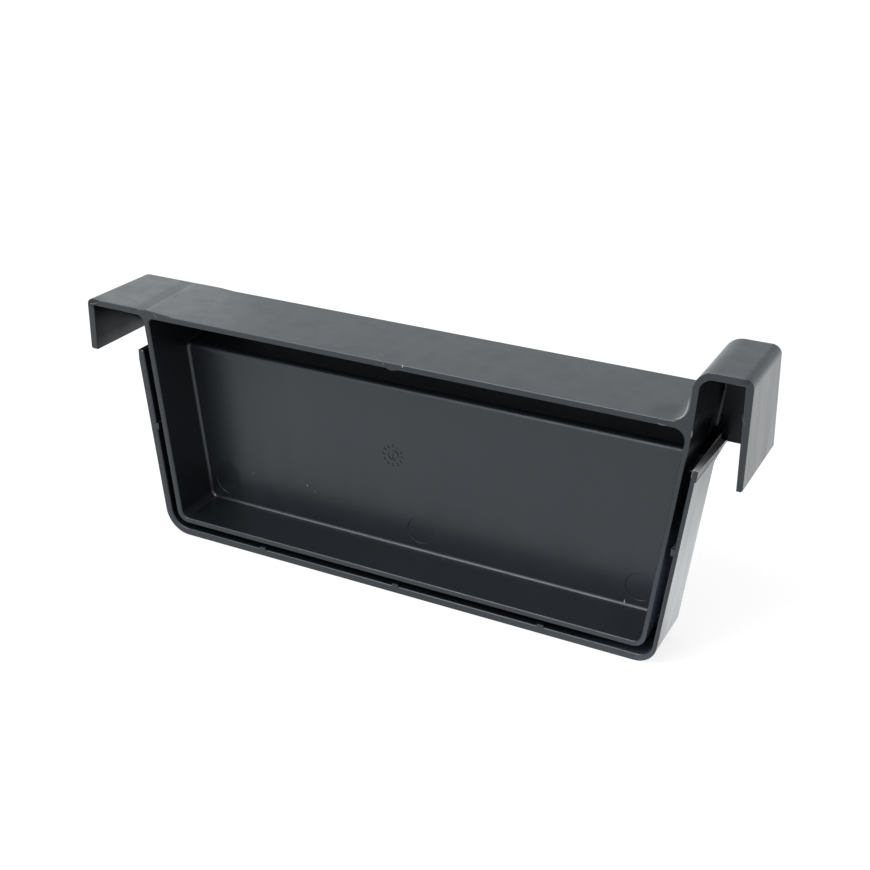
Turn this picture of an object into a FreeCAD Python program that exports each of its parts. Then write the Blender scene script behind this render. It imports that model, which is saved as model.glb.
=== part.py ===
import FreeCAD, Part
import Sketcher
import math
import os

Vector = FreeCAD.Vector
touch = 0.02  # how near counts as on an outline or a level, millimetres

# The end cap closes the left end of a moulded box gutter. Seen from its open front it has a raised,
# hooked edge on the right, a low hooked edge on the left and a flat shelf between them. A shallow tray
# hangs under the shelf, and a groove runs round the tray for the gutter's own wall.
# X runs along the width, Y goes back from the open front, Z goes up from the underside.

doc = FreeCAD.newDocument("gutter_end_cap")
sheet = doc.addObject("Spreadsheet::Sheet", "sizes")

# Driving dimensions, millimetres and degrees
sizes = {
    "overall_width": 175.0,
    "overall_depth": 26.0,
    "body_height": 62.45,
    "body_depth": 16.1,
    "panel_wall": 2.2,
    "side_lean": 6.5,
    "back_lean": 8.0,
    "rear_wall": 2.4,
    "leg_drop": 13.35,
    "shelf_wall": 1.7,
    "left_slot": 15.7,
    "left_leg_wall": 2.0,
    "left_leg_lean": 0.7,
    "left_hook_rise": 0.65,
    "left_hook_fall": 0.4,
    "left_hook_wall": 1.7,
    "left_hook_round": 1.6,
    "left_slot_round": 2.2,
    "crease_slant": 6.5,
    "band_rim_round": 0.25,
    "inner_rim_round": 0.45,
    "ramp_length": 9.0,
    "right_slot": 10.1,
    "right_leg_wall": 1.8,
    "right_leg_tip_wall": 1.4,
    "right_hook_rise": 12.65,
    "right_hook_wall": 1.85,
    "right_hook_round": 2.2,
    "upstand_wall": 1.5,
    "upstand_lean": 3.2,
    "upstand_root_round": 4.1,
    "upstand_top_round": 4.8,
    "upstand_inner_round": 2.7,
    "upstand_bend_round": 20.0,
    "left_tray_wall": 1.55,
    "right_tray_wall": 1.2,
    "tray_floor_wall": 1.4,
    "tray_corner_round": 2.0,
    "tray_left_top_round": 1.3,
    "tray_right_top_round": 2.8,
    "groove_gap": 1.85,
    "left_outer_wall": 1.8,
    "right_outer_wall": 1.15,
    "outer_floor_wall": 1.85,
    "left_groove_round": 5.2,
    "right_groove_round": 3.5,
    "outer_top_drop": 10.75,
    "right_top_fall": 1.7,
    "left_stub_drop": 13.65,
    "right_stub_drop": 13.35,
    "right_stub_proud": 0.3,
    "ledge_drop": 12.45,
    "ledge_rise": 0.5,
    "ledge_under_drop": 15.25,
    "panel_edge_round": 1.8,
    "panel_root_round": 0.9,
    "slot_root_round": 0.8,
    "back_edge_round": 0.25,
    "leg_tip_chamfer": 0.4,
    "nub_width": 1.7,
    "nub_proud": 0.65,
    "nub_length": 9.0,
    "nub_spacing": 39.6,
    "nub_shift": 0.75,
    "side_nub_height": 30.7,
    "pin_mark_radius": 3.6,
    "pin_mark_depth": 0.15,
    "pin_mark_round": 0.12,
    "pin_mark_height": 11.0,
    "pin_mark_spacing": 59.3,
    "pin_mark_shift": 0.6,
    "dial_radius": 1.5,
    "dial_line": 0.3,
    "dial_depth": 0.15,
    "dial_offset": 7.1,
    "dial_height": 30.8,
    "tick_line": 0.65,
    "tick_length": 0.9,
    "tick_gap": 0.7,
    "arrow_width": 0.8,
    "arrow_length": 1.7,
}

# Places worked out from the driving dimensions. A wall that leans is given where it meets a level.
places = {
    "leg_tip": "=body_height - leg_drop",
    "leg_tip_side": "=leg_tip + leg_tip_chamfer",
    "right_leg_tip": "=overall_width - leg_tip_chamfer",
    "left_hook_top": "=body_height + left_hook_rise",
    "left_hook_under": "=left_hook_top - left_hook_wall",
    "right_hook_top": "=body_height + right_hook_rise",
    "right_hook_under": "=right_hook_top - right_hook_wall",
    "shelf_under": "=body_height - shelf_wall",
    "shelf_middle": "=body_height - shelf_wall / 2",
    "tray_underside": "=outer_floor_wall + groove_gap",
    "tray_floor": "=tray_underside + tray_floor_wall",
    "outer_top": "=body_height - outer_top_drop",
    "left_stub_foot": "=body_height - left_stub_drop",
    "right_stub_foot": "=body_height - right_stub_drop",
    "ledge_under": "=body_height - ledge_under_drop",
    "ledge_top": "=body_height - ledge_drop",
    "ledge_top_back": "=ledge_top + ledge_rise",
    "panel_front": "=body_depth - panel_wall",
    # left hook and its leg
    "left_leg_top": "=tan(left_leg_lean) * (left_hook_top - leg_tip)",
    "left_leg_inner_top": "=left_leg_wall + tan(left_leg_lean) * (left_hook_under - leg_tip)",
    "left_slot_side": "=left_leg_wall + left_slot",
    "crease_front": "=left_slot_side",
    "crease_back": "=crease_front + tan(crease_slant) * overall_depth",
    "ramp_front": "=crease_front + ramp_length",
    "ramp_back": "=crease_back + ramp_length",
    "ramp_start": "=left_leg_wall + left_slot_round",
    # right hook, its leg and the upstand that carries it
    "right_leg_inner_top": "=overall_width - right_leg_wall",
    "right_leg_inner_tip": "=overall_width - right_leg_tip_wall",
    "right_slot_side": "=right_leg_inner_top - right_slot",
    "upstand_inner_top": "=right_slot_side + tan(upstand_lean) * (right_hook_under - body_height)",
    "upstand_root": "=right_slot_side - upstand_wall",
    "upstand_top": "=upstand_root + tan(upstand_lean) * right_hook_rise",
    # tray walls, outside then inside
    "tray_outer_round": "=tray_corner_round + tray_floor_wall",
    "tray_left_top": "=left_slot_side + tan(side_lean) * (body_height - left_hook_under)",
    "tray_left_foot": "=left_slot_side + tan(side_lean) * (body_height - tray_underside)",
    "tray_right_foot": "=right_slot_side - tan(side_lean) * (body_height - tray_underside)",
    "hollow_left_top": "=left_slot_side + left_tray_wall + tan(side_lean) * shelf_wall",
    "hollow_left_foot": "=left_slot_side + left_tray_wall + tan(side_lean) * (body_height - tray_floor)",
    "hollow_right_top": "=right_slot_side - right_tray_wall - tan(side_lean) * shelf_wall",
    "hollow_right_foot": "=right_slot_side - right_tray_wall - tan(side_lean) * (body_height - tray_floor)",
    # outer wall, outside then the groove side
    "left_outer_round": "=left_groove_round + outer_floor_wall",
    "right_outer_round": "=right_groove_round + outer_floor_wall",
    "groove_left": "=left_slot_side - groove_gap",
    "groove_right": "=right_slot_side + groove_gap",
    "groove_left_top": "=groove_left + tan(side_lean) * outer_top_drop",
    "groove_left_foot": "=groove_left + tan(side_lean) * (body_height - outer_floor_wall)",
    "groove_right_top": "=groove_right - tan(side_lean) * outer_top_drop",
    "groove_right_foot": "=groove_right - tan(side_lean) * (body_height - outer_floor_wall)",
    "outer_left": "=groove_left - left_outer_wall",
    "outer_right": "=groove_right + right_outer_wall",
    "outer_left_stub": "=outer_left + tan(side_lean) * left_stub_drop",
    "outer_left_panel": "=outer_left + tan(side_lean) * ledge_under_drop",
    "outer_left_foot": "=outer_left + tan(side_lean) * body_height",
    "outer_right_foot": "=outer_right - tan(side_lean) * body_height",
    "outer_right_panel": "=outer_right - tan(side_lean) * ledge_under_drop",
    "outer_right_step": "=outer_right - tan(side_lean) * right_stub_drop",
    "right_stub_face_foot": "=outer_right_step + right_stub_proud",
    "right_stub_face_top": "=outer_right + right_stub_proud - tan(side_lean) * outer_top_drop",
    # side view: leaning rear plate, falling tops of the outer wall, room past the solid for cuts
    "rear_foot_front": "=overall_depth - rear_wall",
    "rear_top_back": "=overall_depth - tan(back_lean) * (right_hook_top - leg_tip)",
    "rear_top_front": "=rear_top_back - rear_wall",
    "rear_inside": "=rear_foot_front - tan(back_lean) * (outer_top - leg_tip)",
    "right_top_back": "=outer_top - right_top_fall",
    "left_hook_back": "=left_hook_top - left_hook_fall",
    "past_top": "=right_hook_top + leg_drop",
    "past_top_back": "=overall_depth - tan(back_lean) * (past_top - leg_tip)",
    "past_back": "=overall_depth + leg_drop",
    "past_front": "=-leg_drop",
    "past_base": "=-leg_drop",
    # nubs in the groove, on the outer wall's inner face
    "middle": "=(outer_left_foot + outer_right_foot) / 2",
    "nub_root": "=outer_floor_wall / 2",
    "nub_top": "=outer_floor_wall + nub_proud",
    "nub_left": "=middle + nub_shift - nub_spacing - nub_width / 2",
    "nub_right": "=nub_left + nub_width",
    "side_nub_foot": "=side_nub_height - nub_width / 2",
    "side_nub_top": "=side_nub_height + nub_width / 2",
    "left_nub_face": "=groove_left + tan(side_lean) * (body_height - side_nub_height)",
    "left_nub_root": "=left_nub_face - left_outer_wall / 2",
    "left_nub_end": "=left_nub_face + nub_proud",
    "right_nub_face": "=groove_right - tan(side_lean) * (body_height - side_nub_height)",
    "right_nub_root": "=right_nub_face + right_outer_wall / 2",
    "right_nub_end": "=right_nub_face - nub_proud",
    # round witness marks on the panel
    "middle_pin_mark": "=middle + pin_mark_shift",
    "left_pin_mark": "=middle_pin_mark - pin_mark_spacing",
    "right_pin_mark": "=middle_pin_mark + pin_mark_spacing",
    "dial_place": "=middle - dial_offset",
    "dial_inner_radius": "=dial_radius - dial_line",
    "tick_start": "=dial_radius + tick_gap",
    "tick_end": "=tick_start + tick_length",
    "tick_top": "=tick_line / 2",
    "tick_foot": "=-tick_line / 2",
    "arrow_right": "=arrow_width / 2",
    "arrow_left": "=-arrow_width / 2",
    "arrow_tip": "=arrow_length / 2",
    "arrow_foot": "=-arrow_length / 2",
    "half_width": "=overall_width / 2",
    "half_depth": "=overall_depth / 2",
}

for row, (name, entry) in enumerate(list(sizes.items()) + list(places.items()), start=1):
    sheet.set(f"A{row}", name)
    sheet.set(f"B{row}", str(entry))
    sheet.setAlias(f"B{row}", name)
doc.recompute()


def size(name):
    """A named value of the sheet in millimetres or degrees, and 0 for no name."""
    return 0.0 if name is None else float(sheet.get(name))


body = doc.addObject("PartDesign::Body", "end_cap")
body.Label = "end_cap"


def origin_plane(role):
    return next(item for item in body.Origin.OriginFeatures if item.Role == role)


def new_sketch(name, plane, away=None, centre=None):
    """A sketch on one of the body's planes, moved along its normal and within it by expressions."""
    sketch = body.newObject("Sketcher::SketchObject", name)
    sketch.AttachmentSupport = [(origin_plane(plane), "")]
    sketch.MapMode = "FlatFace"
    if away:
        sketch.setExpression("AttachmentOffset.Base.z", away)
    if centre:
        sketch.setExpression("AttachmentOffset.Base.x", f"sizes.{centre[0]}")
        sketch.setExpression("AttachmentOffset.Base.y", f"sizes.{centre[1]}")
    return sketch


def place_point(sketch, geometry, end, across, up):
    """Ties a point of the sketch to the named places. No name means that it lies on the axis."""
    for kind, name, axis in (("DistanceX", across, -2), ("DistanceY", up, -1)):
        if name is None:
            sketch.addConstraint(Sketcher.Constraint("PointOnObject", geometry, end, axis))
            continue
        index = sketch.addConstraint(Sketcher.Constraint(kind, -1, 1, geometry, end, size(name)))
        sketch.setExpression(f"Constraints[{index}]", f"sizes.{name}")


def draw_outline(sketch, corners):
    """A closed outline. A corner is (across, up) or (across, up, round), each the name of a value."""
    count = len(corners)
    points = [Vector(size(corner[0]), size(corner[1]), 0) for corner in corners]
    starts, ends = list(points), list(points)
    for i, corner in enumerate(corners):
        if len(corner) < 3:
            continue
        back = (points[i - 1] - points[i]).normalize()
        ahead = (points[(i + 1) % count] - points[i]).normalize()
        reach = size(corner[2]) / math.tan(back.getAngle(ahead) / 2)
        ends[i] = points[i] + back * reach
        starts[i] = points[i] + ahead * reach
    lines = [
        sketch.addGeometry(Part.LineSegment(starts[i], ends[(i + 1) % count]), False)
        for i in range(count)
    ]
    for i, corner in enumerate(corners):
        before, after = lines[i - 1], lines[i]
        if len(corner) < 3:
            sketch.addConstraint(Sketcher.Constraint("Coincident", before, 2, after, 1))
            place_point(sketch, after, 1, corner[0], corner[1])
            continue
        add_round(sketch, before, after, points[i], starts[i], ends[i], corner)


def add_round(sketch, before, after, point, start, end, corner):
    """An arc that meets both lines of a corner, whose own point stays where the sizes put it."""
    back = (end - point).normalize()
    ahead = (start - point).normalize()
    half = back.getAngle(ahead) / 2
    centre = point + (back + ahead).normalize() * (size(corner[2]) / math.sin(half))
    middle = centre + (point - centre).normalize() * size(corner[2])
    arc = sketch.addGeometry(Part.Arc(end, middle, start), False)
    near_end = sketch.getPoint(arc, 1)
    runs_on = (near_end - end).Length < (near_end - start).Length
    first, last = (1, 2) if runs_on else (2, 1)
    sketch.addConstraint(Sketcher.Constraint("Tangent", before, 2, arc, first))
    sketch.addConstraint(Sketcher.Constraint("Tangent", arc, last, after, 1))
    index = sketch.addConstraint(Sketcher.Constraint("Radius", arc, size(corner[2])))
    sketch.setExpression(f"Constraints[{index}]", f"sizes.{corner[2]}")
    tip = sketch.addGeometry(Part.Point(point), True)
    sketch.addConstraint(Sketcher.Constraint("PointOnObject", tip, 1, before))
    sketch.addConstraint(Sketcher.Constraint("PointOnObject", tip, 1, after))
    place_point(sketch, tip, 1, corner[0], corner[1])


def volume():
    return 0.0 if body.Shape.isNull() else body.Shape.Volume


def add_pad(name, sketch, length, reverse):
    """A pad by a length. The XZ plane looks forward, so a pad that runs back is reversed."""
    before = volume()
    pad = body.newObject("PartDesign::Pad", name)
    pad.Profile = sketch
    pad.setExpression("Length", length)
    pad.Reversed = reverse
    doc.recompute()
    if volume() <= before:
        raise RuntimeError(f"{name} adds nothing")
    return pad


def add_cut(name, sketch, length=None, reverse=False):
    """A pocket by a length, or through everything on both sides of its sketch."""
    before = volume()
    cut = body.newObject("PartDesign::Pocket", name)
    cut.Profile = sketch
    cut.Reversed = reverse
    if length:
        cut.setExpression("Length", length)
    else:
        cut.Type = "ThroughAll"
        cut.Midplane = True
    doc.recompute()
    if volume() >= before:
        raise RuntimeError(f"{name} cuts nothing")
    return cut


# Upper outline of the band, from the left leg's tip over both hooks to the right leg's tip
band_top = [
    ("leg_tip_chamfer", "leg_tip"),
    (None, "leg_tip_side"),
    ("left_leg_top", "left_hook_top"),
    ("crease_front", "left_hook_top"),
    ("ramp_front", "body_height"),
    ("upstand_root", "body_height", "upstand_root_round"),
    ("upstand_top", "right_hook_top", "upstand_top_round"),
    ("overall_width", "right_hook_top", "right_hook_round"),
    ("overall_width", "leg_tip_side"),
    ("right_leg_tip", "leg_tip"),
]


def make_rear_plate():
    """The whole band filled, then cut away in front of a leaning plane, so that a plate is left."""
    blank = new_sketch("rear_plate_outline", "XZ_Plane")
    draw_outline(blank, band_top)
    add_pad("rear_plate_blank", blank, "sizes.overall_depth", True)
    front = new_sketch("rear_plate_front", "YZ_Plane")
    draw_outline(front, [
        ("past_front", "leg_tip"),
        ("rear_foot_front", "leg_tip"),
        ("rear_top_front", "right_hook_top"),
        ("past_front", "right_hook_top"),
    ])
    add_cut("rear_plate_cut", front)


def make_outer_wall():
    """The outer wall of the groove, an open U that the gutter's end slides into."""
    wall = new_sketch("outer_wall_outline", "XZ_Plane")
    draw_outline(wall, [
        ("outer_left_stub", "outer_top"),
        ("outer_left_stub", "left_stub_foot"),
        ("outer_left_foot", None, "left_outer_round"),
        ("outer_right_foot", None, "right_outer_round"),
        ("outer_right_step", "right_stub_foot"),
        ("right_stub_face_foot", "right_stub_foot"),
        ("right_stub_face_top", "outer_top"),
        ("groove_right_top", "outer_top"),
        ("groove_right_foot", "outer_floor_wall", "right_groove_round"),
        ("groove_left_foot", "outer_floor_wall", "left_groove_round"),
        ("groove_left_top", "outer_top"),
    ])
    add_pad("outer_wall", wall, "sizes.overall_depth", True)


def make_section():
    """Both hooks, the shelf and the tray's walls, one thin-walled section that runs straight back."""
    section = new_sketch("section_outline", "XZ_Plane")
    draw_outline(section, band_top + [
        ("right_leg_inner_tip", "leg_tip"),
        ("right_leg_inner_top", "right_hook_under"),
        ("upstand_inner_top", "right_hook_under", "upstand_inner_round"),
        ("right_slot_side", "body_height", "upstand_bend_round"),
        ("tray_right_foot", "tray_underside", "tray_outer_round"),
        ("tray_left_foot", "tray_underside", "tray_outer_round"),
        ("tray_left_top", "left_hook_under", "left_slot_round"),
        ("left_leg_inner_top", "left_hook_under"),
        ("left_leg_wall", "leg_tip"),
    ])
    draw_outline(section, [
        ("hollow_left_top", "shelf_under", "tray_left_top_round"),
        ("hollow_right_top", "shelf_under", "tray_right_top_round"),
        ("hollow_right_foot", "tray_floor", "tray_corner_round"),
        ("hollow_left_foot", "tray_floor", "tray_corner_round"),
    ])
    add_pad("section", section, "sizes.overall_depth", True)


def make_crease():
    """The low step on top, whose crease moves to the right as it goes back, with its ramp beside it."""
    ends = []
    for name, crease, ramp, away in (
        ("crease_front_end", "crease_front", "ramp_front", None),
        ("crease_back_end", "crease_back", "ramp_back", "-sizes.overall_depth"),
    ):
        end = new_sketch(name, "XZ_Plane", away)
        draw_outline(end, [
            ("ramp_start", "shelf_middle"),
            ("ramp_start", "left_hook_top"),
            (crease, "left_hook_top"),
            (ramp, "body_height"),
            (ramp, "shelf_middle"),
        ])
        ends.append(end)
    doc.recompute()
    loft = body.newObject("PartDesign::AdditiveLoft", "crease")
    loft.Profile = ends[0]
    loft.Sections = [ends[1]]
    loft.Ruled = True
    doc.recompute()


def make_panel():
    """The closing panel, which is also the groove's floor, and the ledge that steps back above it."""
    panel = new_sketch("panel_outline", "XZ_Plane", "-sizes.panel_front")
    draw_outline(panel, [
        ("outer_left_panel", "ledge_under"),
        ("outer_left_foot", None, "left_outer_round"),
        ("outer_right_foot", None, "right_outer_round"),
        ("outer_right_panel", "ledge_under"),
    ])
    add_pad("panel", panel, "sizes.panel_wall", True)
    ledge = new_sketch("ledge_outline", "YZ_Plane", "sizes.groove_left_top")
    draw_outline(ledge, [
        ("panel_front", "ledge_under"),
        ("panel_front", "ledge_top"),
        ("overall_depth", "ledge_top_back"),
        ("overall_depth", "leg_tip"),
        ("body_depth", "ledge_under"),
    ])
    add_pad("ledge", ledge, "sizes.groove_right_top - sizes.groove_left_top", False)


def slope_tops():
    """The outer wall's right top edge and the left hook's top fall towards the back."""
    for name, outside, width, reverse, level, back, low in (
        ("right_wall_top", "right_stub_face_top", "right_stub_face_top - sizes.groove_right_top", False,
         "outer_top", "rear_inside", "right_top_back"),
        ("left_hook_top", None, "ramp_back", True,
         "left_hook_top", "overall_depth", "left_hook_back"),
    ):
        fall = new_sketch(f"{name}_fall", "YZ_Plane", f"sizes.{outside}" if outside else None)
        draw_outline(fall, [
            (None, level),
            (back, low),
            (back, level),
        ])
        add_cut(f"{name}_slope", fall, f"sizes.{width}", reverse)


def round_left_hook():
    """The left hook's outer corner is rounded along its falling top."""
    side = size("left_leg_top")
    corner = Part.makeLine(Vector(side, 0, size("left_hook_back")), Vector(side, 0, size("left_hook_top")))
    add_fillet("left_hook_corner", edges_on(
        corner, lambda at: 0 < at.y < size("overall_depth")), "left_hook_round")


def trim_back():
    """Everything behind the panel, under the ledge and behind the leaning back is cut off."""
    back = new_sketch("back_outline", "YZ_Plane")
    draw_outline(back, [
        ("body_depth", "past_base"),
        ("body_depth", "ledge_under"),
        ("overall_depth", "leg_tip"),
        ("past_top_back", "past_top"),
        ("past_back", "past_top"),
        ("past_back", "past_base"),
    ])
    add_cut("back_trim", back)


def make_nubs():
    """Five short ribs in the groove that grip the gutter's wall."""
    floor_nub = new_sketch("floor_nub_outline", "XZ_Plane")
    draw_outline(floor_nub, [
        ("nub_left", "nub_root"),
        ("nub_right", "nub_root"),
        ("nub_right", "nub_top"),
        ("nub_left", "nub_top"),
    ])
    nub = add_pad("floor_nub", floor_nub, "sizes.nub_length", True)
    row = body.newObject("PartDesign::LinearPattern", "floor_nubs")
    row.Originals = [nub]
    row.Direction = (floor_nub, ["H_Axis"])
    row.setExpression("Length", "2 * sizes.nub_spacing")
    row.Occurrences = 3
    body.Tip = row
    doc.recompute()
    for side in ("left", "right"):
        side_nub = new_sketch(f"{side}_nub_outline", "XZ_Plane")
        draw_outline(side_nub, [
            (f"{side}_nub_root", "side_nub_foot"),
            (f"{side}_nub_end", "side_nub_foot"),
            (f"{side}_nub_end", "side_nub_top"),
            (f"{side}_nub_root", "side_nub_top"),
        ])
        add_pad(f"{side}_nub", side_nub, "sizes.nub_length", True)


def draw_circle(sketch, across, up, radius):
    circle = Part.Circle(Vector(size(across), size(up), 0), Vector(0, 0, 1), size(radius))
    ring = sketch.addGeometry(circle, False)
    place_point(sketch, ring, 3, across, up)
    index = sketch.addConstraint(Sketcher.Constraint("Radius", ring, size(radius)))
    sketch.setExpression(f"Constraints[{index}]", f"sizes.{radius}")


def make_marks():
    """The round prints of the ejector pins, and a dial of a ring, twelve ticks and an arrow."""
    marks = new_sketch("pin_marks_outline", "XZ_Plane", "-sizes.panel_front")
    for side in ("left", "middle", "right"):
        draw_circle(marks, f"{side}_pin_mark", "pin_mark_height", "pin_mark_radius")
    add_cut("pin_marks", marks, "sizes.pin_mark_depth")
    front = size("panel_front")
    circles = marks.Shape.translated(Vector(0, -front, 0))
    add_fillet("pin_mark_rims", edges_on(
        circles, lambda at: abs(at.y - front) < touch), "pin_mark_round")
    dial_centre = ("dial_place", "dial_height")
    dial = new_sketch("dial_outline", "XZ_Plane", "-sizes.panel_front", dial_centre)
    draw_circle(dial, None, None, "dial_radius")
    draw_circle(dial, None, None, "dial_inner_radius")
    draw_outline(dial, [
        ("arrow_left", "arrow_foot"),
        ("arrow_right", "arrow_foot"),
        (None, "arrow_tip"),
    ])
    add_cut("dial", dial, "sizes.dial_depth")
    tick = new_sketch("tick_outline", "XZ_Plane", "-sizes.panel_front", dial_centre)
    draw_outline(tick, [
        ("tick_start", "tick_foot"),
        ("tick_end", "tick_foot"),
        ("tick_end", "tick_top"),
        ("tick_start", "tick_top"),
    ])
    first = add_cut("tick", tick, "sizes.dial_depth")
    ticks = body.newObject("PartDesign::PolarPattern", "ticks")
    ticks.Originals = [first]
    ticks.Axis = (tick, ["N_Axis"])
    ticks.Angle = 360
    ticks.Occurrences = 12
    body.Tip = ticks
    doc.recompute()


def leaning(foot, up):
    """How far back a leaning face of the rear plate lies at a height, from the place of its foot."""
    lean = math.tan(math.radians(size("back_lean")))
    return size(foot) - lean * (up - size("leg_tip"))


def edges_on(outline, test):
    """Names of the edges that run over an outline of the front view and whose middle passes a test."""
    names = []
    for number, edge in enumerate(body.Shape.Edges, start=1):
        middle = edge.valueAt((edge.FirstParameter + edge.LastParameter) / 2)
        seen = Part.Vertex(Vector(middle.x, 0, middle.z))
        if outline.distToShape(seen)[0] < touch and test(middle):
            names.append(f"Edge{number}")
    return names


def add_fillet(name, names, radius):
    """A fillet on the named edges of the body as it stands."""
    if not names:
        raise RuntimeError(f"{name} finds no edge")
    base = body.Tip
    fillet = body.newObject("PartDesign::Fillet", name)
    fillet.Base = (base, names)
    fillet.setExpression("Radius", f"sizes.{radius}")
    doc.recompute()


def round_front_rims():
    """Fine rounds on the open front's edges, save those on the outside of the outer wall. The hollow's
    edge and the groove's outer edge have the larger one."""
    section = doc.getObject("section_outline").Shape
    hollow = min(section.Wires, key=lambda wire: wire.BoundBox.DiagonalLength)
    band = max(section.Wires, key=lambda wire: wire.BoundBox.DiagonalLength)
    inside = [
        edge for edge in doc.getObject("outer_wall_outline").Shape.Edges
        if edge.BoundBox.ZMin > size("outer_floor_wall") - touch
        and edge.BoundBox.XMin > size("groove_left_top") - touch
        and edge.BoundBox.XMax < size("groove_right_top") + touch
    ]
    for name, outline, radius in (
        ("band_rim", band, "band_rim_round"),
        ("inner_rims", Part.makeCompound([hollow] + inside), "inner_rim_round"),
    ):
        add_fillet(name, edges_on(outline, lambda at: abs(at.y) < touch), radius)


def round_edges():
    """The mould's rounds: along the panel's top, round the tray's foot, in the slots and at the back."""
    section = doc.getObject("section_outline").Shape
    hollow = min(section.Wires, key=lambda wire: wire.BoundBox.DiagonalLength)
    band = max(section.Wires, key=lambda wire: wire.BoundBox.DiagonalLength)
    wall = doc.getObject("outer_wall_outline").Shape
    front, ledge, tip = size("panel_front"), size("ledge_top"), size("leg_tip")
    base_depth = size("body_depth")
    top = Part.makeLine(Vector(0, 0, ledge), Vector(size("overall_width"), 0, ledge))
    add_fillet("panel_edge", edges_on(
        top, lambda at: abs(at.y - front) < touch), "panel_edge_round")
    add_fillet("panel_root", edges_on(
        hollow, lambda at: at.y > front - touch and at.z < size("ledge_top_back")),
        "panel_root_round")
    add_fillet("slot_root", edges_on(
        band, lambda at: abs(at.y - leaning("rear_foot_front", at.z)) < touch and at.z > tip + touch),
        "slot_root_round")
    add_fillet("band_back_edge", edges_on(
        band, lambda at: abs(at.y - leaning("overall_depth", at.z)) < touch and at.z > tip + touch),
        "back_edge_round")
    add_fillet("base_back_edge", edges_on(
        wall, lambda at: abs(at.y - base_depth) < touch and at.z < size("ledge_under") - touch),
        "back_edge_round")


def write_part():
    faults = [item.Name for item in doc.Objects if {"Invalid", "Error"} & set(item.State)]
    shape = body.Shape
    if faults or shape.isNull() or not shape.isValid() or len(shape.Solids) != 1:
        raise RuntimeError(f"end_cap isn't one sound solid: {faults}")
    solid = shape.Solids[0]
    os.makedirs("parts", exist_ok=True)
    shape.exportStep("parts/end_cap.step")
    box = shape.BoundBox
    print("end_cap", [round(side, 2) for side in (box.XLength, box.YLength, box.ZLength)])
    print("volume", round(solid.Volume, 1), "centre", solid.CenterOfMass)


make_rear_plate()
make_outer_wall()
make_section()
make_crease()
make_panel()
slope_tops()
round_left_hook()
trim_back()
round_front_rims()
make_nubs()
make_marks()
round_edges()
body.setExpression("Placement.Base.x", "-sizes.half_width")
body.setExpression("Placement.Base.y", "-sizes.half_depth")
doc.recompute()
write_part()
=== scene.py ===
import math

import bpy
import numpy as np
from mathutils import Matrix, Vector


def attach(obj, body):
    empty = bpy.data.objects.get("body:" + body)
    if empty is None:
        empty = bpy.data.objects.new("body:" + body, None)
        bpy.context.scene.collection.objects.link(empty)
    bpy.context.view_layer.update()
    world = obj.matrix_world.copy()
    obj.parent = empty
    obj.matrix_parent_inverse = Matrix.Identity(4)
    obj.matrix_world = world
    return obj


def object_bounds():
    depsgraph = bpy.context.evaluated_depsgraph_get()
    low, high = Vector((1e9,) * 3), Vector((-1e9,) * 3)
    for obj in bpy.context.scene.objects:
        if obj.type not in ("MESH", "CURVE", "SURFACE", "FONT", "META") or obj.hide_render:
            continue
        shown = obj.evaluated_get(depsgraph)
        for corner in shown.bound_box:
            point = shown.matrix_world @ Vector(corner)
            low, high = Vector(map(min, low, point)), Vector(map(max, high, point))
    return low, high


# A gutter end cap, moulded in one piece, on a white table in a white light tent. The cap's marks and masks
# are in millimetres, the studio and the camera in metres.

mm = 0.001

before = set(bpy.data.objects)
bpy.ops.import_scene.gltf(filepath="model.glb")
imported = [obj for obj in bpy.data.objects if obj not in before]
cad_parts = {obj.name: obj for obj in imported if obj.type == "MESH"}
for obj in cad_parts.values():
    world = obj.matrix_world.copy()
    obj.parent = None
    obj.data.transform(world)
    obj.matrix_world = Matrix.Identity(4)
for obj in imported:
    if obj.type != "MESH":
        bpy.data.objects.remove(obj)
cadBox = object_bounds()
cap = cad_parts["end_cap"]
print("frame loaded")


def toLinear(hexColour):
    # an sRGB hex value as linear red, green, blue and alpha
    parts = [int(hexColour[i:i + 2], 16) / 255 for i in (1, 3, 5)]
    return [p / 12.92 if p <= 0.04045 else ((p + 0.055) / 1.055) ** 2.4 for p in parts] + [1.0]


def addNode(tree, kind, settings=None, links=None):
    # one node with its settings or input values by name or number, and its links
    node = tree.nodes.new(kind)
    for name, value in (settings or {}).items():
        if isinstance(name, int) or name in node.inputs:
            node.inputs[name].default_value = value
        else:
            setattr(node, name, value)
    for name, source in (links or {}).items():
        tree.links.new(source, node.inputs[name])
    return node


def newMaterial(name):
    material = bpy.data.materials.new(name)
    material.use_nodes = True
    material.node_tree.nodes.clear()
    return material, material.node_tree


def fold(tree, operation, values):
    # the sum, product or largest of several values, taken two at a time
    total = values[0]
    for value in values[1:]:
        total = addNode(tree, "ShaderNodeMath", {"operation": operation}, {0: total, 1: value}).outputs[0]
    return total


# What places on the cap are measured by, in mm: the shares of x, y and z, and the point that a slanted one
# is counted from. Each is the dot product of the shares with the way from that point.
measures = {
    "x": ((1, 0, 0), (0, 0, 0)),
    "y": ((0, 1, 0), (0, 0, 0)),
    "z": ((0, 0, 1), (0, 0, 0)),
    "leftWall": ((1, 0, 0.114), (0, 0, 62.7)),      # x at the shelf, followed down the tray's left wall
    "rightWall": ((1, 0, -0.114), (0, 0, 62.7)),    # the same for its right wall
    "upstand": ((1, 0, -0.085), (0, 0, 62.7)),      # x along the right wall and the upstand over it
    "backPlate": ((0, 1, 0.1405), (0, 0, 62.7)),    # y along the leaning plate at the back
    "falling": ((0, 0.3, 1), (0, -12.8, 0)),        # z at the front, along a line that falls to the back
    "step": ((1, 0.09, 0), (0, 0, 0)),              # x along the step in the shelf
}


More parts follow.
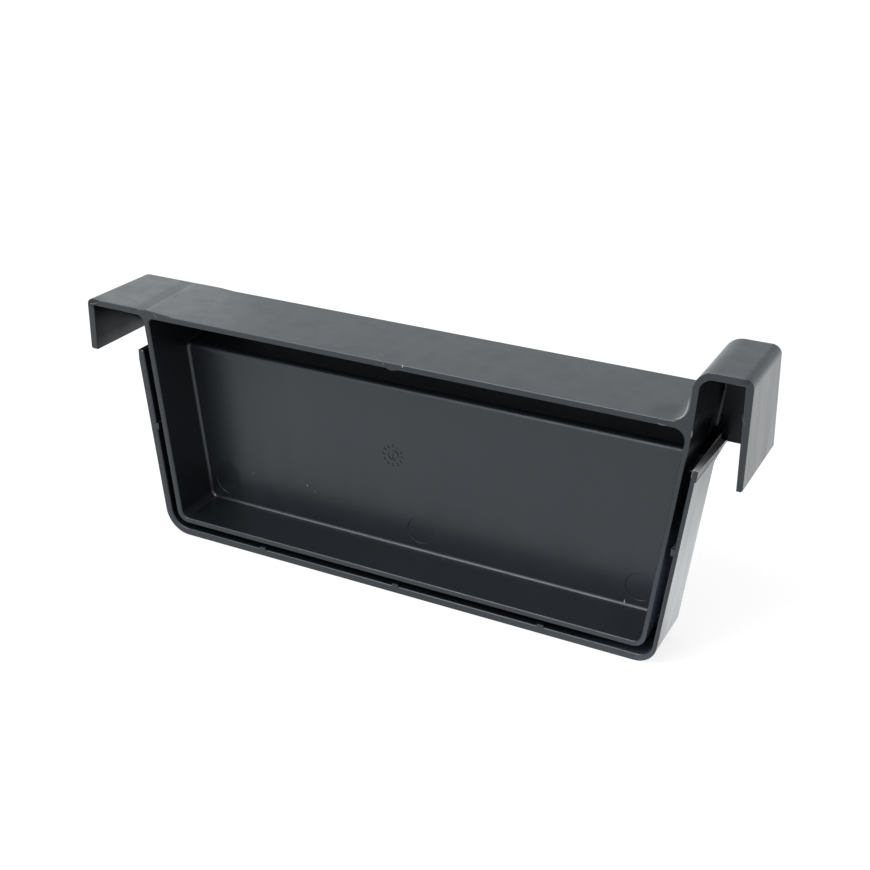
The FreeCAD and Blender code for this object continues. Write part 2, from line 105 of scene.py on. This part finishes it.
def inRegion(tree, places, limits):
    # The product of one factor for each limit. A limit with two places is 1 between them and 0 elsewhere,
    # open where one is None. With two values more it runs smoothly from the first to the second value.
    factors = []
    for name, low, high, *values in limits:
        share, start = measures[name]
        shift = float(np.dot(share, start))
        if values:
            settings = {"interpolation_type": "SMOOTHSTEP", "From Min": low + shift, "From Max": high + shift,
                        "To Min": values[0], "To Max": values[1]}
            factors.append(addNode(tree, "ShaderNodeMapRange", settings, {"Value": places[name]}).outputs[0])
            continue
        for comparison, limit in (("GREATER_THAN", low), ("LESS_THAN", high)):
            if limit is not None:
                settings = {"operation": comparison, 1: limit + shift}
                factors.append(addNode(tree, "ShaderNodeMath", settings, {0: places[name]}).outputs[0])
    return fold(tree, "MULTIPLY", factors)


plastic = {
    "colour": "#111418",          # anthracite grey, a little blue
    "colourBloom": "#16191e",     # where the skin of the moulding is paler
    "roughness": 0.33,
    "roughnessSpread": 0.05,      # more and less than that along the flow lines
    "flowRange": (0.3, 0.7),      # the part of the flow pattern's values that is used
    "grainDepth": 0.004,          # mm
    "waveDepth": 0.02,            # mm
    "ior": 1.61,
    "specular": 0.5,
    "sheen": "#f0f8ff",           # what the skin mirrors is a little blue
}

patterns = {
    # mm across one cloud, line, grain or wave of it
    "bloom": {"size": 34.0, "detail": 3.0, "roughness": 0.55},
    "flow": {"size": 5.0, "detail": 4.0, "roughness": 0.6, "stretch": (1.0, 1.0, 0.12)},
    "grain": {"size": 0.35, "detail": 2.0, "roughness": 0.5},    # finer in the real skin, too fine to show
    "sinkWaves": {"size": 22.0, "detail": 1.0, "roughness": 0.5},
}

frontRound = [("y", -13.2, -12.76)]
grooveEnd = [("rightWall", 73.9, 77.9), ("z", 22.0, 38.0, 1.0, 0.0)]
deepInGroove = [("y", -12.7, 2.0), ("y", -12.7, -5.0, 0.6, 1.0)]
paintedLightTints = {
    # painted light: a colour and the regions that have it
    "paintedTopHighlight": {             # painted highlight: the top of the outer wall at the right, painted pale so that it looks lit
        "colour": "#9ca0a4",
        "where": [[("x", 76.0, 79.8), ("z", 49.95, 52.3), ("y", -12.9, 9.0)]],
    },
    "paintedEdgeHighlight": {         # painted highlight along the front top edges of the shelf, the low hook and the high hook
        "colour": "#43474b",
        "where": [[("x", -61.0, 71.5), ("z", 62.28, None)] + frontRound,
                  [("x", -83.5, -69.0), ("z", 62.93, None)] + frontRound,
                  [("z", 74.93, None)] + frontRound],
    },
    "paintedGrooveReflection": {         # painted bluish reflection deep in the groove's lower right end
        "colour": "#7c899c",
        "where": [grooveEnd + deepInGroove + [("z", 3.0, 10.0, 0.2, 1.0)],
                  [("z", 1.0, 4.4), ("x", 50.0, 70.0, 0.0, 0.2)] + deepInGroove],
    },
    "paintedRimReflection": {            # the same painted bluish reflection on the rims beside it
        "colour": "#282c38",
        "where": [grooveEnd + [("y", None, -12.7)]],
    },
}

highSlot = [("y", -12.8, None), ("backPlate", None, 9.3), ("z", 49.15, 74.2), ("x", None, 86.6),
            ("upstand", 74.7, None)]
dullAndPaintedShadeFaces = {
    # the insides of the two hooks, off an unpolished core, with painted shade: their gloss falls away deeper
    # in, towards the low hook's roof and the high hook's back
    "lowHook": [("y", -12.8, None), ("backPlate", None, 9.3), ("z", 49.15, 62.1), ("x", -86.4, None),
                ("leftWall", None, -69.0), ("z", 48.5, 53.0, 0.3, 0.72), ("z", 56.0, 61.5, 1.0, 1.361)],
    "highHook": highSlot + [("y", -12.8, 2.0, 0.0, 0.45)],
    # painted shade: a dark line along the high hook's top where its right round begins
    "paintedShadeStripe": [("x", 84.8, 85.8, 0.0, 0.3), ("x", 86.2, 86.8, 1.0, 0.0), ("z", 74.0, None)],
}

paintedEdgeOnShade = {
    # Painted shade on the high hook's wall towards the tray. It is seen nearly edge on, where only a gloss
    # close to 0 is dull to the eye, so it is dull by 1 - least ** band.
    "where": highSlot + [("x", None, 79.0), ("y", 3.0, 7.0, 1.0, 0.0)],
    "band": [("falling", 59.5, 64.5, 1.0, 0.0), ("falling", 55.5, 59.0, 0.35, 1.0)],
    "least": 0.0005,
}

dullAndPaintedShadeSpots = {
    "leftEjector": {"at": (-55.6, 0.9, 13.2), "radius": 3.6, "soft": 0.6, "dull": 0.3},
    "hookCorner": {"at": (-85.6, -12.6, 62.6), "radius": 1.9, "soft": 0.8, "dull": 0.4},
    # painted shade on the panel's upper left
    "paintedShadeUpperLeft": {"at": (-58.0, 0.9, 50.0), "radius": 14.0, "soft": 10.0, "dull": 0.13},
    # painted shade on the shelf by the upstand's root
    "paintedShadeByUpstand": {"at": (69.0, -8.0, 62.45), "radius": 3.6, "soft": 3.2, "dull": 0.3},
}
inFrontOfBack = [("y", None, 2.2)]

shelfStep = {
    "where": [("x", -76.0, -53.5), ("z", 62.3, 64.0), ("y", -12.7, 10.6)],
    "slopes": [(-74.0, -73.0, 0.05), (-70.2, -69.4, -0.1), (-69.2, -68.2, 0.05)],   # from, to and change
}


def spotMask(tree, inMm, places, spot):
    # the spot's dullness within a ball, falling to 0 over a soft rim, and 0 on the far side of the panel
    away = addNode(tree, "ShaderNodeVectorMath", {"operation": "DISTANCE", 1: spot["at"]}, {0: inMm})
    near = addNode(tree, "ShaderNodeMapRange", {"interpolation_type": "SMOOTHSTEP",
                                                "From Min": spot["radius"] - spot["soft"],
                                                "From Max": spot["radius"] + spot["soft"],
                                                "To Min": spot["dull"], "To Max": 0.0},
                   {"Value": away.outputs["Value"]})
    return fold(tree, "MULTIPLY", [near.outputs[0], inRegion(tree, places, inFrontOfBack)])


def skinGloss(tree, inMm, places):
    # the specular level: its plain value times 1 less the largest dullness of all the faces and spots, most
    # of which is painted shade
    dull = [inRegion(tree, places, limits) for limits in dullAndPaintedShadeFaces.values()]
    band = inRegion(tree, places, paintedEdgeOnShade["band"])
    left = addNode(tree, "ShaderNodeMath", {"operation": "POWER", 0: paintedEdgeOnShade["least"]}, {1: band})
    gone = addNode(tree, "ShaderNodeMath", {"operation": "SUBTRACT", 0: 1.0}, {1: left.outputs[0]})
    dull.append(fold(tree, "MULTIPLY", [gone.outputs[0], inRegion(tree, places, paintedEdgeOnShade["where"])]))
    dull += [spotMask(tree, inMm, places, spot) for spot in dullAndPaintedShadeSpots.values()]
    gloss = addNode(tree, "ShaderNodeMath", {"operation": "MULTIPLY_ADD", 1: -plastic["specular"],
                                             2: plastic["specular"]}, {0: fold(tree, "MAXIMUM", dull)})
    return gloss.outputs[0]


def skinSlope(tree, places):
    # The surface's own normal, but on the step in the shelf one that only has the slopes that are seen
    # there: flat, with a shallow dip and a ridge along the step's left side.
    slopes = [inRegion(tree, places, [("step", low, high, 0.0, change)])
              for low, high, change in shelfStep["slopes"]]
    dip = addNode(tree, "ShaderNodeCombineXYZ", {2: 1.0}, {0: fold(tree, "ADD", slopes)})
    own = addNode(tree, "ShaderNodeNewGeometry")
    both = addNode(tree, "ShaderNodeMix", {"data_type": "VECTOR"},
                   {0: inRegion(tree, places, shelfStep["where"]), 4: own.outputs["Normal"],
                    5: dip.outputs[0]})
    return both.outputs[1]


def mouldedPvc():
    # Injection-moulded PVC with its own colour all through: a satin skin off polished steel. To the eye
    # that is a near black that turns pale at a flat angle, with soft clouds and faint flow lines in it.
    material, tree = newMaterial("mouldedAnthracitePvc")
    place = addNode(tree, "ShaderNodeTexCoord").outputs["Object"]
    inMm = addNode(tree, "ShaderNodeMapping", {"Scale": (1 / mm,) * 3}, {"Vector": place}).outputs[0]
    places = {name: addNode(tree, "ShaderNodeVectorMath", {"operation": "DOT_PRODUCT", 1: share},
                            {0: inMm}).outputs["Value"] for name, (share, start) in measures.items()}
    fac = {}
    for name, pattern in patterns.items():
        drawn = addNode(tree, "ShaderNodeMapping", {"Scale": pattern.get("stretch", (1.0, 1.0, 1.0))},
                        {"Vector": inMm})
        noise = addNode(tree, "ShaderNodeTexNoise", {"Scale": 1 / pattern["size"],
                                                     "Detail": pattern["detail"],
                                                     "Roughness": pattern["roughness"]},
                        {"Vector": drawn.outputs[0]})
        fac[name] = noise.outputs["Fac"]
    colour = addNode(tree, "ShaderNodeMix", {"data_type": "RGBA", 6: toLinear(plastic["colour"]),
                                             7: toLinear(plastic["colourBloom"])}, {0: fac["bloom"]})
    # painted light: the tints lay painted highlights and bluish reflections into the colour
    for paintedTint in paintedLightTints.values():
        mask = fold(tree, "MAXIMUM", [inRegion(tree, places, limits) for limits in paintedTint["where"]])
        colour = addNode(tree, "ShaderNodeMix", {"data_type": "RGBA", 7: toLinear(paintedTint["colour"])},
                         {0: mask, 6: colour.outputs[2]})
    skin = addNode(tree, "ShaderNodeMapRange", {"From Min": plastic["flowRange"][0],
                                                "From Max": plastic["flowRange"][1],
                                                "To Min": plastic["roughness"] - plastic["roughnessSpread"],
                                                "To Max": plastic["roughness"] + plastic["roughnessSpread"]},
                   {"Value": fac["flow"]})
    waved = addNode(tree, "ShaderNodeBump", {"Strength": 1.0, "Distance": plastic["waveDepth"] * mm},
                    {"Height": fac["sinkWaves"], "Normal": skinSlope(tree, places)})
    grained = addNode(tree, "ShaderNodeBump", {"Strength": 1.0, "Distance": plastic["grainDepth"] * mm},
                      {"Height": fac["grain"], "Normal": waved.outputs[0]})
    shader = addNode(tree, "ShaderNodeBsdfPrincipled", {"IOR": plastic["ior"],
                                                        "Specular Tint": toLinear(plastic["sheen"])},
                     {"Base Color": colour.outputs[2], "Roughness": skin.outputs[0],
                      "Specular IOR Level": skinGloss(tree, inMm, places), "Normal": grained.outputs[0]})
    addNode(tree, "ShaderNodeOutputMaterial", None, {"Surface": shader.outputs[0]})
    return material


cap.material_slots[0].material = mouldedPvc()
print("material on the cap")


# Marks of the cutting and moulding, in mm, and two painted highlights. Most beads are flash, and each runs
# through points of x and z along the front edges; its radius is that at mid length. A fleck has a place and a
# radius.
burrsAndPaintedHighlights = {
    "whitenedBurrsAndHighlight": {
        "material": "whitenedPvcAndPaintedHighlight",
        "colour": "#b4b8bc",
        "beads": [
            # painted highlight: the bright line along the round at the upstand's root, drawn as a pale bead
            ([(71.4, 62.95), (72.4, 63.35), (73.2, 64.1), (73.75, 65.2), (74.0, 66.6), (74.1, 68.4)], 0.13),
        ],
        "flecks": [
            ((5.56, -12.95, 62.2), 0.22), ((59.0, 0.85, 5.7), 0.17), ((59.02, 0.85, 6.05), 0.17),
            ((59.04, 0.87, 6.4), 0.12), ((5.5, -12.95, 61.95), 0.16), ((-61.6, 0.75, 6.0), 0.28),
            ((-60.9, 0.7, 5.5), 0.36), ((76.7, -12.9, 51.9), 0.17), ((77.4, -12.9, 51.75), 0.13),
            ((-30.6, 0.88, 15.8), 0.17), ((-70.75, -12.93, 51.5), 0.2),
        ],
    },
    "faintBurrsAndHighlight": {
        "material": "shearedPvcAndPaintedHighlight",
        "colour": "#5c6064",
        "beads": [
            ([(66.9, 61.45), (68.0, 61.1), (69.0, 61.0), (70.0, 61.2)], 0.14),
            ([(75.45, 61.2), (75.4, 60.3), (75.3, 59.3)], 0.2),
            ([(85.6, 67.0), (86.0, 65.6), (86.5, 64.9), (87.1, 64.35)], 0.09),
            # painted highlight: the light arc at the low hook's corner, drawn as a faint pale bead
            ([(-87.0, 62.1), (-86.4, 61.75), (-85.2, 61.8), (-84.2, 62.3), (-83.6, 62.75)], 0.15),
            ([(-66.3, 62.7), (-65.7, 62.1), (-64.6, 61.3)], 0.14),
            ([(-71.5, 62.7), (-70.6, 62.85), (-69.8, 62.85)], 0.12),
        ],
        "flecks": [
            ((0.4, -12.95, 61.8), 0.22), ((-47.7, 0.9, 15.3), 0.22), ((-45.5, 0.85, 5.4), 0.25),
            ((76.0, -12.9, 51.6), 0.12), ((-28.3, 0.88, 14.6), 0.2), ((-71.2, -12.95, 51.7), 0.16),
        ],
    },
}
vestiges = {
    # what is left of the gate, and a bulge of flash by the upstand: place and radii along x, y and z
    "gateVestige": ((2.4, -12.2, 60.95), (1.8, 0.78, 0.75)),
    "flashBulge": ((68.7, -12.3, 61.15), (1.9, 0.68, 0.4)),
}
marks = {
    "beadY": -12.97,           # where the beads run, just behind the front plane
    "beadRings": 6,            # for each point of the path
    "beadSides": 10,
    "beadTaper": 0.12,         # the angle that is left off each end of the half sine
    "beadDepth": 0.4,          # a bead's depth as a share of its height
    "fleckDepth": 0.5,         # the same for a fleck
    "eggRings": 9,
    "eggSides": 12,
    "eggPole": 0.05,           # the angle about each pole that a flat face closes
    "cutRoughness": 0.5,
}


def bead(through, radius):
    # Rings square to the path, each an ellipse: centre + size * (cos t * across + sin t * depth along y).
    # The size follows half a sine wave from end to end, so that both ends taper.
    path = np.insert(np.array(through, float), 1, marks["beadY"], axis=1)
    steps = np.linspace(0, len(path) - 1, marks["beadRings"] * len(path))
    centres = np.stack([np.interp(steps, np.arange(len(path)), column) for column in path.T], axis=1)
    along = np.gradient(centres, axis=0)
    along /= np.linalg.norm(along, axis=1, keepdims=True)
    across = np.cross(along, (0, 1, 0))
    sizes = radius * np.sin(np.linspace(marks["beadTaper"], math.pi - marks["beadTaper"], len(steps)))
    turns = np.linspace(2 * math.pi, 0, marks["beadSides"], endpoint=False)[None, :, None]
    outwards = np.cos(turns) * across[:, None] + np.sin(turns) * np.array((0, marks["beadDepth"], 0))
    return centres[:, None] + sizes[:, None, None] * outwards


def egg(centre, radii):
    # rings of latitude: radii * (cos h * cos t, cos h * sin t, sin h) about the centre
    top = math.pi / 2 - marks["eggPole"]
    heights = np.linspace(-top, top, marks["eggRings"])[:, None]
    turns = np.linspace(0, 2 * math.pi, marks["eggSides"], endpoint=False)[None, :]
    shape = np.stack(np.broadcast_arrays(np.cos(heights) * np.cos(turns), np.cos(heights) * np.sin(turns),
                                         np.sin(heights)), axis=2)
    return shape * radii + centre


def addSurfaces(name, surfaces, material):
    # Every surface is a stack of rings: each point is joined to the next of its ring and to the same two
    # of the ring after, and the first and last rings are closed by a face. All go into one mesh.
    faces, first = [], 0
    for rings in surfaces:
        here = first + np.arange(rings.shape[0] * rings.shape[1]).reshape(rings.shape[:2])
        after = np.roll(here, -1, axis=1)
        quads = np.stack([here[:-1], after[:-1], after[1:], here[1:]], axis=2).reshape(-1, 4)
        faces += quads.tolist() + [here[0, ::-1].tolist(), here[-1].tolist()]
        first += here.size
    mesh = bpy.data.meshes.new(name)
    mesh.from_pydata((np.concatenate([rings.reshape(-1, 3) for rings in surfaces]) * mm).tolist(), [], faces)
    mesh.shade_smooth()
    mesh.materials.append(material)
    piece = bpy.data.objects.new(name, mesh)
    bpy.context.collection.objects.link(piece)
    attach(piece, "root")


def cutPvcAndPaintedHighlight(name, hexColour):
    # PVC stretched or sheared by a cut: it turns pale and loses its gloss. The same pale material draws the
    # painted highlights.
    material, tree = newMaterial(name)
    shader = addNode(tree, "ShaderNodeBsdfPrincipled", {"Base Color": toLinear(hexColour),
                                                        "Roughness": marks["cutRoughness"],
                                                        "IOR": plastic["ior"]})
    addNode(tree, "ShaderNodeOutputMaterial", None, {"Surface": shader.outputs[0]})
    return material


def makeMarks():
    for name, markGroup in burrsAndPaintedHighlights.items():
        surfaces = [bead(through, radius) for through, radius in markGroup["beads"]]
        surfaces += [egg(at, (radius, radius * marks["fleckDepth"], radius)) for at, radius in markGroup["flecks"]]
        addSurfaces(name, surfaces, cutPvcAndPaintedHighlight(markGroup["material"], markGroup["colour"]))
    for name, (at, radii) in vestiges.items():
        addSurfaces(name, [egg(at, radii)], cap.material_slots[0].material)


makeMarks()
print("burrs and the gate's vestige added")


studio = {
    "tableSize": 6.0,
    "tableColour": "#959595",
    "tableGlow": 0.78,             # the table is an opal sheet lit from below, so shadows on it are faint
    "tableTint": "#fbfeff",        # its glow as a gloss shows it
    "paintedPoolAt": (0.075, 0.03, 0.0),  # painted pool of light on the sheet behind the cap's right end, seen only in a gloss
    "paintedPoolRadius": 0.075,
    "paintedPoolGlow": 1.2,
    "paintedFarDepth": 0.12,              # painted light: how far back the sheet gains light in a gloss
    "paintedFarGlow": 0.28,               # and how much
    "tentFill": 0.72,              # the tent's light on matt surfaces
    "tentTint": "#f6fcff",         # the tent as a gloss shows it, a little blue
}
white = (1, 1, 1, 1)


def whiteRays(tree, path):
    # 1 for what the camera, a gloss or clear plastic shows, and 0 for the light that falls on surfaces
    return fold(tree, "MAXIMUM", [path.outputs[ray] for ray in ("Is Camera Ray", "Is Glossy Ray",
                                                                "Is Transmission Ray")])


def glossTint(tree, path, hexColour):
    # white, but the given colour in a gloss
    return addNode(tree, "ShaderNodeMix", {"data_type": "RGBA", 6: white, 7: toLinear(hexColour)},
                   {0: path.outputs["Is Glossy Ray"]}).outputs[2]


def opalSheet():
    # Opal acrylic, extruded and matt, lit from below: white to the eye, with faint shadows. In a gloss it
    # also shows a painted pool of light about one point, and painted light that grows towards its far side.
    material, tree = newMaterial("opalAcrylic")
    path = addNode(tree, "ShaderNodeLightPath")
    place = addNode(tree, "ShaderNodeTexCoord").outputs["Object"]
    # painted light: a pool of light and a gain towards the far side, seen only in a gloss
    away = addNode(tree, "ShaderNodeVectorMath", {"operation": "DISTANCE", 1: studio["paintedPoolAt"]}, {0: place})
    paintedPool = addNode(tree, "ShaderNodeMapRange", {"interpolation_type": "SMOOTHSTEP", "From Min": 0.0,
                                                "From Max": studio["paintedPoolRadius"],
                                                "To Min": studio["paintedPoolGlow"], "To Max": 0.0},
                   {"Value": away.outputs["Value"]})
    depth = addNode(tree, "ShaderNodeSeparateXYZ", None, {0: place}).outputs[1]
    paintedFarLight = addNode(tree, "ShaderNodeMapRange", {"interpolation_type": "SMOOTHSTEP", "From Min": 0.0,
                                               "From Max": studio["paintedFarDepth"], "To Min": studio["tableGlow"],
                                               "To Max": studio["tableGlow"] + studio["paintedFarGlow"]},
                  {"Value": depth})
    glossGlowWithPaintedLight = fold(tree, "MULTIPLY", [path.outputs["Is Glossy Ray"],
                                      fold(tree, "ADD", [paintedPool.outputs[0], paintedFarLight.outputs[0]])])
    plain = addNode(tree, "ShaderNodeMath", {"operation": "MULTIPLY", 1: studio["tableGlow"]},
                    {0: whiteRays(tree, path)})
    glow = addNode(tree, "ShaderNodeEmission", None,
                   {"Strength": fold(tree, "MAXIMUM", [plain.outputs[0], glossGlowWithPaintedLight]),
                    "Color": glossTint(tree, path, studio["tableTint"])})
    matt = addNode(tree, "ShaderNodeBsdfDiffuse", {"Color": toLinear(studio["tableColour"])})
    both = addNode(tree, "ShaderNodeAddShader", None, {0: matt.outputs[0], 1: glow.outputs[0]})
    addNode(tree, "ShaderNodeOutputMaterial", None, {"Surface": both.outputs[0]})
    return material


def makeTable():
    # a square of the table's size, level with the cap's underside
    corners = np.array([(-1, -1, 0), (1, -1, 0), (1, 1, 0), (-1, 1, 0)], float) * studio["tableSize"] / 2
    corners[:, 2] = cadBox[0][2]
    mesh = bpy.data.meshes.new("studioTable")
    mesh.from_pydata(corners.tolist(), [], [(0, 1, 2, 3)])
    mesh.materials.append(opalSheet())
    table = bpy.data.objects.new("studioTable", mesh)
    bpy.context.collection.objects.link(table)


def makeTent():
    # white where it is seen straight or in a gloss, and a little less as the light that falls on surfaces
    world = bpy.data.worlds.new("lightTent")
    world.use_nodes = True
    tree = world.node_tree
    tree.nodes.clear()
    path = addNode(tree, "ShaderNodeLightPath")
    strength = addNode(tree, "ShaderNodeMix", {"data_type": "FLOAT", 2: studio["tentFill"], 3: 1.0},
                       {0: whiteRays(tree, path)})
    tent = addNode(tree, "ShaderNodeBackground", None, {"Strength": strength.outputs[0],
                                                        "Color": glossTint(tree, path, studio["tentTint"])})
    addNode(tree, "ShaderNodeOutputWorld", None, {"Surface": tent.outputs[0]})
    bpy.context.scene.world = world


softboxes = {
    "keyBox": {"from": (-0.33, -0.52, 0.82), "to": (0, 0, 0.04), "size": 0.5, "watts": 4.5},
    "lowBox": {"from": (-0.2, -0.9, 0.5), "to": (0, 0, 0.04), "size": 0.4, "watts": 1.6},
    "leftBox": {"from": (-0.95, 0.82, 0.34), "to": (-0.08, 0, 0.06), "size": 0.5, "watts": 0.2},
    "nearBox": {"from": (-0.14, 0.085, 0.1), "to": (-0.08, 0, 0.06), "size": 0.05, "watts": 0.0022},
}


def makeSoftboxes():
    for name, box in softboxes.items():
        lamp = bpy.data.lights.new(name, "AREA")
        lamp.size = box["size"]
        lamp.energy = box["watts"]
        holder = bpy.data.objects.new(name, lamp)
        bpy.context.collection.objects.link(holder)
        aim = Vector(box["to"]) - Vector(box["from"])
        turned = aim.to_track_quat("-Z", "Y").to_matrix().to_4x4()
        holder.matrix_world = Matrix.Translation(box["from"]) @ turned
        holder.visible_camera = False


makeTable()
makeTent()
makeSoftboxes()
print("studio set")


# the camera, where the photograph was taken from
view = {
    "place": (0.14774, -0.27735, 0.18696),
    "turn": 26.8016,       # degrees to the left of straight ahead
    "dip": 25.3816,        # degrees down
    "roll": 0.5436,        # degrees
    "lens": 57.757,        # mm
    "sensor": 36.0,        # mm wide
    "nearest": 0.01,       # nothing nearer than this is drawn
}


def makeCamera():
    turn, dip, roll = (math.radians(view[k]) for k in ("turn", "dip", "roll"))
    ahead = Vector((-math.sin(turn) * math.cos(dip), math.cos(turn) * math.cos(dip), -math.sin(dip)))
    level = Vector((math.cos(turn), math.sin(turn), 0))
    above = level.cross(ahead)
    right = level * math.cos(roll) + above * math.sin(roll)
    up = above * math.cos(roll) - level * math.sin(roll)
    camera = bpy.data.cameras.new("photoCamera")
    camera.lens = view["lens"]
    camera.sensor_width = view["sensor"]
    camera.sensor_fit = "HORIZONTAL"
    camera.clip_start = view["nearest"]
    holder = bpy.data.objects.new("photoCamera", camera)
    bpy.context.collection.objects.link(holder)
    turned = Matrix((right, up, -ahead)).transposed().to_4x4()
    holder.matrix_world = Matrix.Translation(view["place"]) @ turned
    bpy.context.scene.camera = holder


makeCamera()
bpy.context.scene.view_settings.view_transform = "Standard"
print("camera set")
